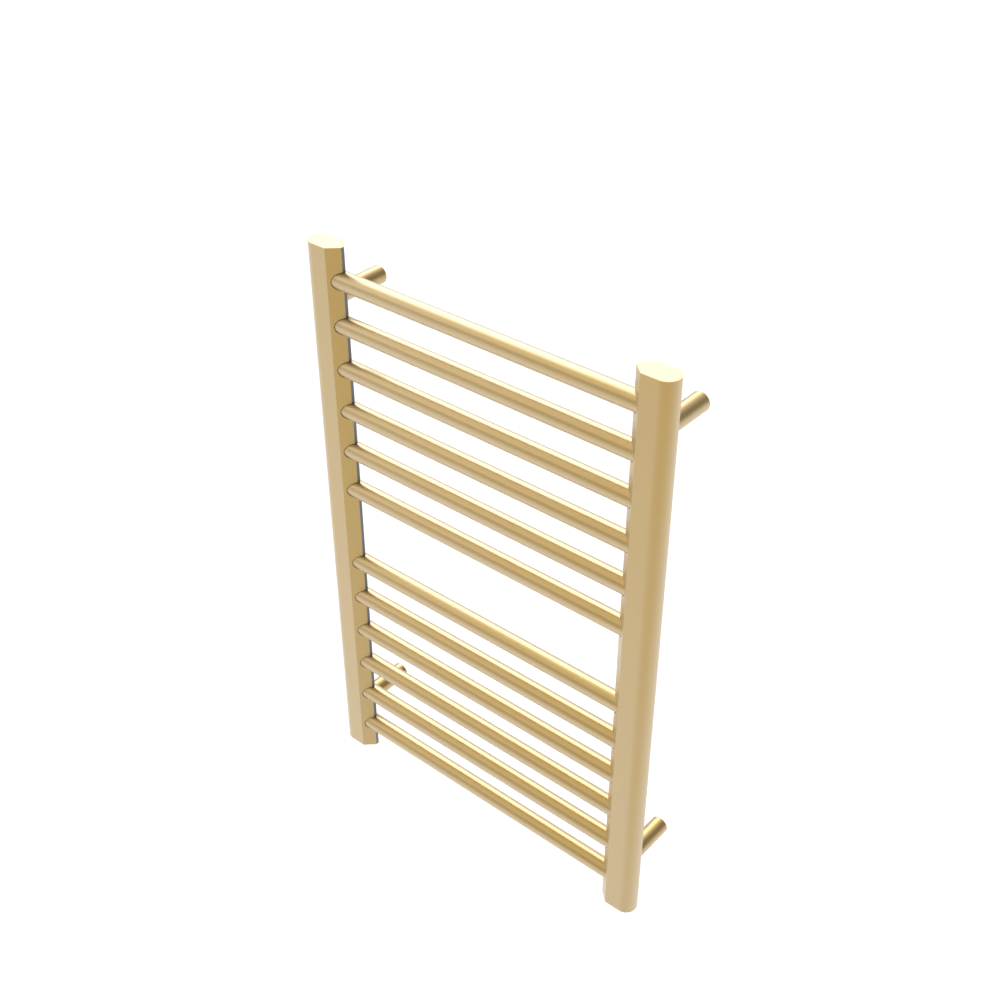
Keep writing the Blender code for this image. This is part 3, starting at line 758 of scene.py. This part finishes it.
def post_outline(side, inset, edge):
    """Closed plan of a post: rounded V corners, then the half-round side."""
    radius, middle, corners = post_corners(inset)
    round_x = POST_HIGH.x - (POST_HIGH.y - POST_LOW.y) / 2
    ends = [Vector((round_x, -radius)), Vector((round_x, radius))]
    softened = rounded(corners + ends, edge, 4)[:4 * len(corners) + len(corners)]
    steps = settings().post.round_steps
    arc = [Vector((round_x, 0.0)) + polar(radius, math.pi * (i / steps - 0.5))
           for i in range(steps + 1)]
    return [Vector((side * point.x, point.y + middle)) for point in softened + arc]


def span(node):
    """Lowest corner, highest corner and middle of a frame node."""
    low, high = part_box(node)
    return low, high, (low + high) / 2


def middle_of(node):
    return span(node)[2]


def make_post(name):
    side = SIDES[name]
    post = settings().post
    tube = settings().tube
    piece = extruded(name + "_post_tube",
                     [post_outline(side, 0.0, post.edge), post_outline(side, post.wall, post.edge)],
                     POST_LOW.z, POST_HIGH.z, post.rim)
    overrun = 4 * OVERRUN
    reach = BAR_HIGH.x - POST_LOW.x + 2 * overrun
    hole_x = side * (BAR_HIGH.x + overrun - reach / 2)
    bar_holes = cylinders(
        name + "_bar_holes", [Vector((hole_x, *middle_of(bar).yz)) for bar in BARS],
        (BAR_HIGH.z - BAR_LOW.z) / 2 + post.joint, reach, ALONG_X, tube.sides)
    standoffs = [middle_of(f"{level}_{name}_standoff") for level in LEVELS]
    standoff_holes = cylinders(
        name + "_standoff_holes", [Vector((at.x, POST_HIGH.y, at.z)) for at in standoffs],
        (STANDOFF_HIGH.z - STANDOFF_LOW.z) / 2 + post.joint, 2 * overrun, ALONG_Y, tube.sides)
    cut(piece, bar_holes, standoff_holes)
    piece.data.materials.append(gold_post())
    piece.data.materials.append(tip_grey())
    inward = Vector((-side, 0.0, 0.0))
    tip_x = side * POST_LOW.x
    for face in piece.data.polygons:
        on_tip = abs(face.center.x - tip_x) < WELD and face.normal.dot(inward) > 0.99
        face.material_index = 1 if on_tip else 0
    finish(piece, RACK, "brushed_gold", name + "_post")


def make_end_cap(corner):
    post = settings().post
    level_name, side_name = corner.split("_")
    node = f"{side_name}_post_{level_name}_cap"
    low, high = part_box(node)
    plan = post_outline(SIDES[side_name], post.wall + post.cap_seam, post.edge)
    piece = extruded(node + "_plate", [plan], low.z, high.z, post.cap_seam)
    finish(piece, RACK, "brushed_gold", node, gold_post())


def make_bar(node):
    low, high, middle = span(node)
    tube = settings().tube
    piece = round_tube(node + "_tube", middle, high.x - low.x, high.z - low.z,
                       tube.bar_wall, tube.bar_rim, ALONG_X, gold_bar())
    finish(piece, RACK, "brushed_gold", node)


def make_standoff(corner):
    node = corner + "_standoff"
    low, high, middle = span(node)
    tube = settings().tube
    diameter = high.z - low.z
    piece = round_tube(node + "_tube", middle, high.y - low.y, diameter,
                       (diameter - tube.standoff_bore) / 2, tube.standoff_rim, ALONG_Y,
                       gold_standoff())
    screw_low, screw_high, screw_at = span(corner + "_set_screw")
    radius = (screw_high.x - screw_low.x) / 2 + settings().fixing.tapped_gap
    cut(piece, cylinders(corner + "_tapped_hole", [screw_at], radius, diameter / 2, UPRIGHT,
                         tube.sides // 2))
    finish(piece, RACK, "brushed_gold", node)


def make_set_screw(corner):
    node = corner + "_set_screw"
    low, high, middle = span(node)
    fixing = settings().fixing
    piece = threaded_rod(
        node + "_thread", middle, high.z - low.z, high.x - low.x, fixing.screw_pitch,
        THREAD_DEPTH * fixing.screw_pitch, plain_finish("black_oxide"), fixing.screw_point,
        turn=Matrix.Rotation(math.pi, 4, "X"))
    key_radius = fixing.screw_key / 2 / math.cos(math.pi / 6)
    socket = cylinders(corner + "_socket", [Vector((middle.x, middle.y, low.z))], key_radius,
                       2 * fixing.screw_key_depth, UPRIGHT, 6)
    cup_depth = fixing.screw_point
    cup = turned(corner + "_cup", [(0.0, -cup_depth), (2 * cup_depth, cup_depth), (0.0, cup_depth)],
                 24, Matrix.Translation((middle.x, middle.y, high.z)))
    cut(piece, socket, cup)
    finish(piece, corner + "_screw", "black_oxide_steel", node)


def make_wall_boss(corner):
    node = corner + "_wall_boss"
    low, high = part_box(node)
    fixing = settings().fixing
    radius = (high.x - low.x) / 2
    depth = high.y - low.y
    half = depth / 2
    centre = Vector(((low.x + high.x) / 2, (low.y + high.y) / 2, high.z - radius))
    chamfer = fixing.boss_chamfer
    solid = [(0.0, half), (radius - chamfer, half), (radius, half - chamfer),
             (radius, chamfer - half), (radius - chamfer, -half), (0.0, -half)]
    sides = settings().tube.sides
    piece = turned(node + "_body", solid, sides, Matrix.Translation(centre) @ ALONG_Y)
    wired = corner == WIRED_CORNER
    shift = Vector((fixing.wired_shift, 0.0, 0.0))
    screw_at = centre - shift if wired else centre
    flat = boxes(corner + "_flat", [(
        centre + Vector((-2 * radius, -depth, -2 * radius)),
        centre + Vector((2 * radius, depth, -fixing.boss_flat)))])
    screw_radius = fixing.wall_screw / 2
    sink_radius = fixing.wall_sink / 2
    overrun = 2 * OVERRUN
    sink = [(0.0, overrun), (sink_radius + overrun, overrun), (sink_radius, 0.0),
            (screw_radius, screw_radius - sink_radius), (screw_radius, -depth - overrun),
            (0.0, -depth - overrun)]
    screw_hole = turned(corner + "_screw_hole", sink, sides, Matrix.Translation(
        screw_at - Vector((0.0, half, 0.0))) @ Matrix.Rotation(math.pi / 2, 4, "X"))
    cutters = [flat, screw_hole]
    if wired:
        cutters.append(cylinders(corner + "_wire_hole", [centre + shift], fixing.wire_hole / 2,
                                 2 * depth, ALONG_Y, sides))
    cut(piece, *cutters)
    finish(piece, WALL, "zinc_plated_steel", node, plain_finish("zinc_plate"))


def make_bush():
    low, high, middle = span("supply_bush")
    fixing = settings().fixing
    half = (high.y - low.y) / 2
    barrel = fixing.wire_hole / 2 - fixing.bush_gap
    bore = fixing.bush_bore / 2
    flange = (high.x - low.x) / 2
    step = fixing.bush_flange + HAIRLINE - half
    outline = [(barrel, half), (barrel, step), (flange, step), (flange, -half), (bore, -half),
               (bore, half)]
    soft = rounded_profile(outline, fixing.bush_edge, closed=True)
    piece = turned("supply_bush_liner", soft, settings().tube.sides,
                   Matrix.Translation(middle) @ ALONG_Y)
    finish(piece, WALL, "rubber", "supply_bush", plain_finish("rubber"))


def make_cable():
    """Up the rack through every bar, turning back in each post."""
    circuit = settings().circuit
    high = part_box("heating_cable")[1]
    joint_low, _, joint = span("cable_joint")
    seal_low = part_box("cable_end_seal")[0]
    heights = [middle_of(bar).z for bar in reversed(BARS)]
    plane = middle_of(BARS[0]).y
    reach = high.x - circuit.cable / 2
    turn = (heights[1] - heights[0]) / 2
    points = [Vector((joint.x, plane, joint_low.z - HAIRLINE)),
              Vector((joint.x, plane, heights[0]))]
    turns = [0.0, circuit.start_turn]
    side = -1
    for here, there in zip(heights, heights[1:]):
        points += [Vector((side * reach, plane, here)), Vector((side * reach, plane, there))]
        turns += [turn, turn]
        side = -side
    points.append(Vector((seal_low.x - HAIRLINE, plane, heights[-1])))
    turns.append(0.0)
    piece = grown("heating_cable_sheath", wire_tree(), {
        "Diameter": circuit.cable, "Smooth": False, "Steps": 14, "Sides": 20,
        "Material": plain_finish("silicone_sheath")},
        polyline("heating_cable_sheath", points, turns))
    finish(piece, RACK, "silicone_red", "heating_cable")


def make_sleeve(node, turn):
    """Heat-shrink sleeve, drawn in a little towards its ends."""
    low, high, middle = span(node)
    radius = min(high - low) / 2
    half = max(high - low) / 2
    neck = 0.88 * radius
    corners = [(0.0, half), (neck, half), (neck, 0.72 * half), (radius, 0.45 * half),
               (radius, -0.45 * half), (neck, -0.72 * half), (neck, -half), (0.0, -half)]
    piece = turned(node + "_sleeve", rounded_profile(corners, 0.0005), 40,
                   Matrix.Translation(middle) @ turn)
    finish(piece, RACK, "heat_shrink", node, plain_finish("heat_shrink"))


def make_cut_out():
    """Thermal cut-out: a two-part case with a seam down each side."""
    low, high, middle = span("thermal_cut_out")
    shrink = Vector((0.0002, 0.0002, 0.0))
    piece = boxes("thermal_cut_out_case", [(low + shrink, high - shrink)])
    soften(piece, CASE_EDGE)
    seam_depth = 0.0004
    grooves = [
        (Vector((left, middle.y - HAIRLINE, low.z - OVERRUN)),
         Vector((right, middle.y + HAIRLINE, high.z + OVERRUN)))
        for left, right in ((low.x - OVERRUN, low.x + seam_depth),
                            (high.x - seam_depth, high.x + OVERRUN))]
    cut(piece, boxes("cut_out_seams", grooves))
    finish(piece, RACK, "white_nylon", "thermal_cut_out", plain_finish("moulded_nylon"))


def terminal_places():
    return {pole: middle_of(pole + "_terminal") for pole in POLES}


def make_block():
    """Three-pole terminal block with notches between its poles and a well over each screw."""
    circuit = settings().circuit
    low, high, middle = span("terminal_block")
    piece = boxes("terminal_block_body", [(low, high)])
    soften(piece, BLOCK_EDGE)
    half_notch = Vector((0.0003, 0.0, 0.0))
    notch_depth = 0.0016
    notches = []
    for side in (-1, 1):
        x = middle.x + side * circuit.terminal_pitch / 2
        for bottom, top in ((low.z - OVERRUN, low.z + notch_depth),
                            (high.z - notch_depth, high.z + OVERRUN)):
            notches.append((Vector((x, low.y - OVERRUN, bottom)) - half_notch,
                            Vector((x, high.y + OVERRUN, top)) + half_notch))
    places = list(terminal_places().values())
    wells = [Vector((at.x, at.y + along, high.z)) for at in places for along in SCREW_ALONG]
    cut(piece, boxes("block_notches", notches),
        cylinders("block_holes", places, circuit.block_hole / 2, 2 * (high.y - low.y), ALONG_Y, 48),
        cylinders("block_wells", wells, WELL_RADIUS, 2 * (high.z - middle.z), UPRIGHT, 32))
    finish(piece, RACK, "white_nylon", "terminal_block", plain_finish("moulded_nylon"))


def make_terminals():
    circuit = settings().circuit
    for pole in POLES:
        node = pole + "_terminal"
        low, high, middle = span(node)
        outer = high.z - low.z
        piece = round_tube(node + "_tube", middle, high.y - low.y, outer,
                           (outer - circuit.terminal_bore) / 2, THIN_RIM, ALONG_Y,
                           plain_finish("brass"))
        places = [Vector((middle.x, middle.y + along, high.z)) for along in SCREW_ALONG]
        cut(piece, cylinders(pole + "_tapped", places, TAPPED_RADIUS, outer / 2, UPRIGHT, 24))
        finish(piece, RACK, "brass", node)


def make_terminal_screws():
    """Six slotted clamp screws in the wells of the terminal block."""
    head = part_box("terminal_block")[1].z - CLAMP_SINK
    slot_width, slot_depth = CLAMP_SLOT
    half_slot = slot_width / 2
    screws = []
    for pole, middle in terminal_places().items():
        foot = middle.z + settings().circuit.lead / 2 + HAIRLINE / 2
        for number, along in enumerate(SCREW_ALONG):
            name = f"{pole}_screw_{number}"
            place = Vector((middle.x, middle.y + along, (foot + head) / 2))
            screw = threaded_rod(name, place, head - foot, CLAMP_DIAMETER, CLAMP_PITCH,
                                 CLAMP_PITCH / 2, plain_finish("zinc_plate"),
                                 0.75 * CLAMP_PITCH, 24, 40)
            cut(screw, boxes(name + "_slot", [(
                Vector((place.x - half_slot, place.y - 2 * OVERRUN, head - slot_depth)),
                Vector((place.x + half_slot, place.y + 2 * OVERRUN, head + OVERRUN)))]))
            screws.append(screw)
    finish(joined("terminal_screws", screws), RACK, "zinc_plated_steel")


def joined(name, pieces):
    """Several closed pieces of one material in one mesh."""
    shape = bmesh.new()
    for piece in pieces:
        shape.from_mesh(piece.data)
    mesh = mesh_from(name, shape)
    mesh.materials.append(pieces[0].data.materials[0])
    for piece in pieces:
        bpy.data.objects.remove(piece)
    return new_piece(name, mesh)


def make_earth_stud():
    low, high, middle = span("earth_stud")
    pitch = settings().circuit.stud_pitch
    piece = threaded_rod("earth_stud_thread", middle, high.z - low.z, high.x - low.x, pitch,
                         THREAD_DEPTH * pitch, plain_finish("zinc_plate"), rings=108)
    finish(piece, RACK, "zinc_plated_steel", "earth_stud")


def make_earth_nut():
    """Hexagon nut with chamfered corners and a countersunk bore."""
    stud_low, stud_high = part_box("earth_stud")
    low, high, middle = span("earth_nut")
    flats = settings().circuit.nut_flats
    corner = flats / math.sqrt(3)
    half = (high.z - low.z) / 2
    hexagon = [polar(corner, k * math.pi / 3) for k in range(6)]
    edge = 0.00003
    nut = extruded("earth_nut_body", [hexagon], low.z, high.z, edge)
    nut.data.transform(Matrix.Translation((middle.x, middle.y, 0.0)))
    over = OVERRUN
    face = 0.47 * flats
    drop = (corner + over - face) * math.tan(math.radians(30))
    top = half + HAIRLINE / 10
    lens = [(0.0, top), (face, top), (corner + over, half - drop), (corner + over, drop - half),
            (face, -top), (0.0, -top)]
    cut(nut, turned("nut_chamfers", lens, 96, Matrix.Translation(middle)), operation="INTERSECT")
    bore = (stud_high.x - stud_low.x) / 2 + HAIRLINE
    sink = 0.0003
    mouth = bore + sink
    hole = [(0.0, half + over), (mouth + over, half + over), (mouth, half), (bore, half - sink),
            (bore, sink - half), (mouth, -half), (mouth + over, -half - over), (0.0, -half - over)]
    cut(nut, turned("nut_hole", hole, 48, Matrix.Translation(middle)))
    finish(nut, RACK, "zinc_plated_steel", "earth_nut", plain_finish("zinc_plate"))


def make_earth_ring():
    """Ring terminal with a crimp barrel that stands on its tab."""
    low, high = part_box("earth_ring")
    stud = middle_of("earth_stud")
    radius = (high.y - low.y) / 2
    meet = math.asin(TAB_HALF_WIDTH / radius)
    steps = 40
    sweep = 2 * (math.pi - meet)
    outline = [polar(radius, meet + sweep * i / steps) for i in range(steps + 1)]
    tab_end = high.x - stud.x - TAB_HALF_WIDTH
    outline += [Vector((tab_end, 0.0)) + polar(TAB_HALF_WIDTH, math.pi * (i / 12 - 0.5))
                for i in range(13)]
    hole_radius = (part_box("earth_stud")[1].x - stud.x) + 2 * HAIRLINE
    hole = [polar(hole_radius, 2 * math.pi * i / steps) for i in range(steps)]
    piece = extruded("earth_ring_terminal", [outline, hole], low.z, high.z, THIN_RIM)
    piece.data.transform(Matrix.Translation((stud.x, stud.y, 0.0)))
    piece.data.materials.clear()
    piece.data.materials.append(plain_finish("brass"))
    landing = Vector((stud.x + tab_end, stud.y, high.z))
    height = 0.0036
    foot = 0.0002
    wall = 0.0004
    barrel = round_tube("crimp", landing + Vector((0.0, 0.0, height / 2 - foot)), height,
                        settings().circuit.lead + 2 * wall + 2 * HAIRLINE, wall, HAIRLINE,
                        UPRIGHT, plain_finish("brass"))
    whole = joined("earth_ring_terminal_crimped", [piece, barrel])
    finish(whole, RACK, "brass", "earth_ring")


def make_leads():
    """Live, neutral and earth from the terminals, and the short lead after the cut-out."""
    places = terminal_places()
    block = middle_of("terminal_block")
    joint_high, joint = span("cable_joint")[1:]
    joint_top = Vector((joint.x, joint.y, joint_high.z))
    case_low, _, case = span("thermal_cut_out")
    case_foot = Vector((case.x, case.y, case_low.z))
    spread = Vector((0.0018, 0.0, 0.0))
    at_joint = Vector((0.0013, 0.0, 0.0))
    ring_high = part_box("earth_ring")[1]
    landing = Vector((ring_high.x - TAB_HALF_WIDTH, case_foot.y, ring_high.z))

    def from_terminal(pole, bends):
        start = block.y - LEAD_INTO_BLOCK
        straight = [Vector((places[pole].x, start - step, block.z)) for step in LEAD_STEPS]
        return straight + [Vector((x, y, block.z + height)) for x, y, height in bends]

    def above(place, height, back=0.0):
        return place + Vector((0.0, back, height))

    routes = {
        "live_lead": ("lead_brown", from_terminal("live", LIVE_BENDS) + [
            above(case_foot + spread, -0.009), case_foot + spread]),
        "neutral_lead": ("lead_blue", from_terminal("neutral", NEUTRAL_BENDS) + [
            above(joint_top - at_joint, 0.0066, 0.0015), above(joint_top - at_joint, 0.0038),
            joint_top - at_joint]),
        "cut_out_lead": ("lead_brown", [
            case_foot - spread, above(case_foot - spread, -0.0022),
            (case_foot - spread + joint_top + at_joint) / 2, above(joint_top + at_joint, 0.0020),
            joint_top + at_joint]),
        "earth_lead": ("lead_green", from_terminal("earth", EARTH_BENDS) + [
            above(landing, 0.0046, 0.0008), landing]),
    }
    for node, (colour_name, points) in routes.items():
        piece = grown(node + "_wire", wire_tree(), {
            "Diameter": settings().circuit.lead, "Smooth": True, "Steps": 8, "Sides": 16,
            "Material": plain_finish(colour_name)}, polyline(node + "_wire", points))
        finish(piece, RACK, colour_name, node)


# Stage


def direction(azimuth, elevation):
    """Unit vector from the rack, at an azimuth from the front and an elevation."""
    across = math.cos(elevation)
    return Vector((math.sin(azimuth) * across, -math.cos(azimuth) * across, math.sin(elevation)))


def make_camera():
    studio = settings().studio
    back = direction(studio.azimuth, studio.elevation)
    camera_data = bpy.data.cameras.new("camera")
    camera_data.lens = studio.lens
    camera_data.sensor_width = 36.0
    camera_data.clip_end = 100.0
    camera = new_piece("camera", camera_data)
    camera.location = Vector(studio.aim) + studio.distance * back
    camera.rotation_euler = (-back).to_track_quat("-Z", "Y").to_euler()
    bpy.context.scene.camera = camera


def make_floor():
    studio = settings().studio
    shape = bmesh.new()
    bmesh.ops.create_grid(shape, x_segments=1, y_segments=1, size=20.0)
    mesh = mesh_from("floor", shape)
    mesh.transform(Matrix.Translation((0.0, 0.0, FRAME_BOX[0].z - studio.floor_drop)))
    floor = new_piece("floor", mesh)
    material, _, shader = new_material("pale_floor")
    shader.inputs["Base Color"].default_value = (*studio.floor, 1.0)
    shader.inputs["Roughness"].default_value = 0.9
    shader.inputs["Specular IOR Level"].default_value = 0.1
    mesh.materials.append(material)


def make_light(name, azimuth, elevation, angle, strength):
    """A wide soft light, far away, that shines from this direction."""
    light = bpy.data.lights.new(name, "SUN")
    light.angle = math.radians(angle)
    light.energy = strength * math.pi * math.sin(light.angle / 2) ** 2
    lamp = new_piece(name, light)
    towards = direction(math.radians(azimuth), math.radians(elevation))
    lamp.rotation_euler = towards.to_track_quat("Z", "Y").to_euler()


def make_lights():
    for name, values in SOFT_LIGHTS.items():
        make_light(name, *values)
    world = bpy.data.worlds.new("studio")
    world.use_nodes = True
    sky = world.node_tree.nodes["Background"]
    sky.inputs["Color"].default_value = (1.0, 1.0, 1.0, 1.0)
    sky.inputs["Strength"].default_value = settings().studio.room
    bpy.context.scene.world = world


# Operators


class TOWEL_WARMER_OT_posts(Operator):
    """Build the two hollow posts with their holes"""
    bl_idname = "towel_warmer.posts"
    bl_label = "Posts"

    def execute(self, context):
        for side_name in SIDES:
            make_post(side_name)
        return {"FINISHED"}


class TOWEL_WARMER_OT_end_caps(Operator):
    """Build the plates that close the posts"""
    bl_idname = "towel_warmer.end_caps"
    bl_label = "End Caps"

    def execute(self, context):
        for corner in CORNERS:
            make_end_cap(corner)
        return {"FINISHED"}


class TOWEL_WARMER_OT_bars(Operator):
    """Build the round bars"""
    bl_idname = "towel_warmer.bars"
    bl_label = "Bars"

    def execute(self, context):
        for node in BARS:
            make_bar(node)
        return {"FINISHED"}


class TOWEL_WARMER_OT_standoffs(Operator):
    """Build the standoffs between the posts and the wall"""
    bl_idname = "towel_warmer.standoffs"
    bl_label = "Standoffs"

    def execute(self, context):
        for corner in CORNERS:
            make_standoff(corner)
        return {"FINISHED"}


class TOWEL_WARMER_OT_set_screws(Operator):
    """Build the threaded set screws that clamp the standoffs"""
    bl_idname = "towel_warmer.set_screws"
    bl_label = "Set Screws"

    def execute(self, context):
        for corner in CORNERS:
            make_set_screw(corner)
        return {"FINISHED"}


class TOWEL_WARMER_OT_wall_bosses(Operator):
    """Build the wall bosses and the rubber bush of the wired one"""
    bl_idname = "towel_warmer.wall_bosses"
    bl_label = "Wall Bosses"

    def execute(self, context):
        for corner in CORNERS:
            make_wall_boss(corner)
        make_bush()
        return {"FINISHED"}


class TOWEL_WARMER_OT_heating_cable(Operator):
    """Build the heating cable with its joint, its seal and the thermal cut-out"""
    bl_idname = "towel_warmer.heating_cable"
    bl_label = "Heating Cable"

    def execute(self, context):
        make_cable()
        make_sleeve("cable_joint", UPRIGHT)
        make_sleeve("cable_end_seal", ALONG_X)
        make_cut_out()
        return {"FINISHED"}


class TOWEL_WARMER_OT_wiring(Operator):
    """Build the terminals, the leads and the earth stud"""
    bl_idname = "towel_warmer.wiring"
    bl_label = "Wiring"

    def execute(self, context):
        make_block()
        make_terminals()
        make_terminal_screws()
        make_earth_stud()
        make_earth_nut()
        make_earth_ring()
        make_leads()
        return {"FINISHED"}


class TOWEL_WARMER_OT_stage(Operator):
    """Set the camera, the pale floor and the soft light"""
    bl_idname = "towel_warmer.stage"
    bl_label = "Stage"

    def execute(self, context):
        make_camera()
        make_floor()
        make_lights()
        context.scene.view_settings.view_transform = "Standard"
        return {"FINISHED"}


OPERATORS = (
    TOWEL_WARMER_OT_stage, TOWEL_WARMER_OT_posts, TOWEL_WARMER_OT_end_caps,
    TOWEL_WARMER_OT_bars, TOWEL_WARMER_OT_standoffs, TOWEL_WARMER_OT_set_screws,
    TOWEL_WARMER_OT_wall_bosses, TOWEL_WARMER_OT_heating_cable, TOWEL_WARMER_OT_wiring,
)


class TOWEL_WARMER_PT_build(Panel):
    bl_label = "Towel Warmer"
    bl_space_type = "VIEW_3D"
    bl_region_type = "UI"
    bl_category = "Towel Warmer"

    def draw(self, context):
        for operator in OPERATORS:
            self.layout.operator(operator.bl_idname)


CLASSES = (
    PostSettings, TubeSettings, FixingSettings, CircuitSettings, FinishSettings, StudioSettings,
    WarmerSettings,
    *OPERATORS, TOWEL_WARMER_PT_build,
)


def register():
    for kind in CLASSES:
        bpy.utils.register_class(kind)
    bpy.types.Scene.towel_warmer = PointerProperty(type=WarmerSettings)


def unregister():
    del bpy.types.Scene.towel_warmer
    for kind in reversed(CLASSES):
        bpy.utils.unregister_class(kind)


def main():
    register()
    for operator in OPERATORS:
        section, action = operator.bl_idname.split(".")
        result = getattr(getattr(bpy.ops, section), action)()
        if result != {"FINISHED"}:
            raise RuntimeError(f"{operator.bl_label} wasn't finished")


if __name__ == "__main__":
    main()
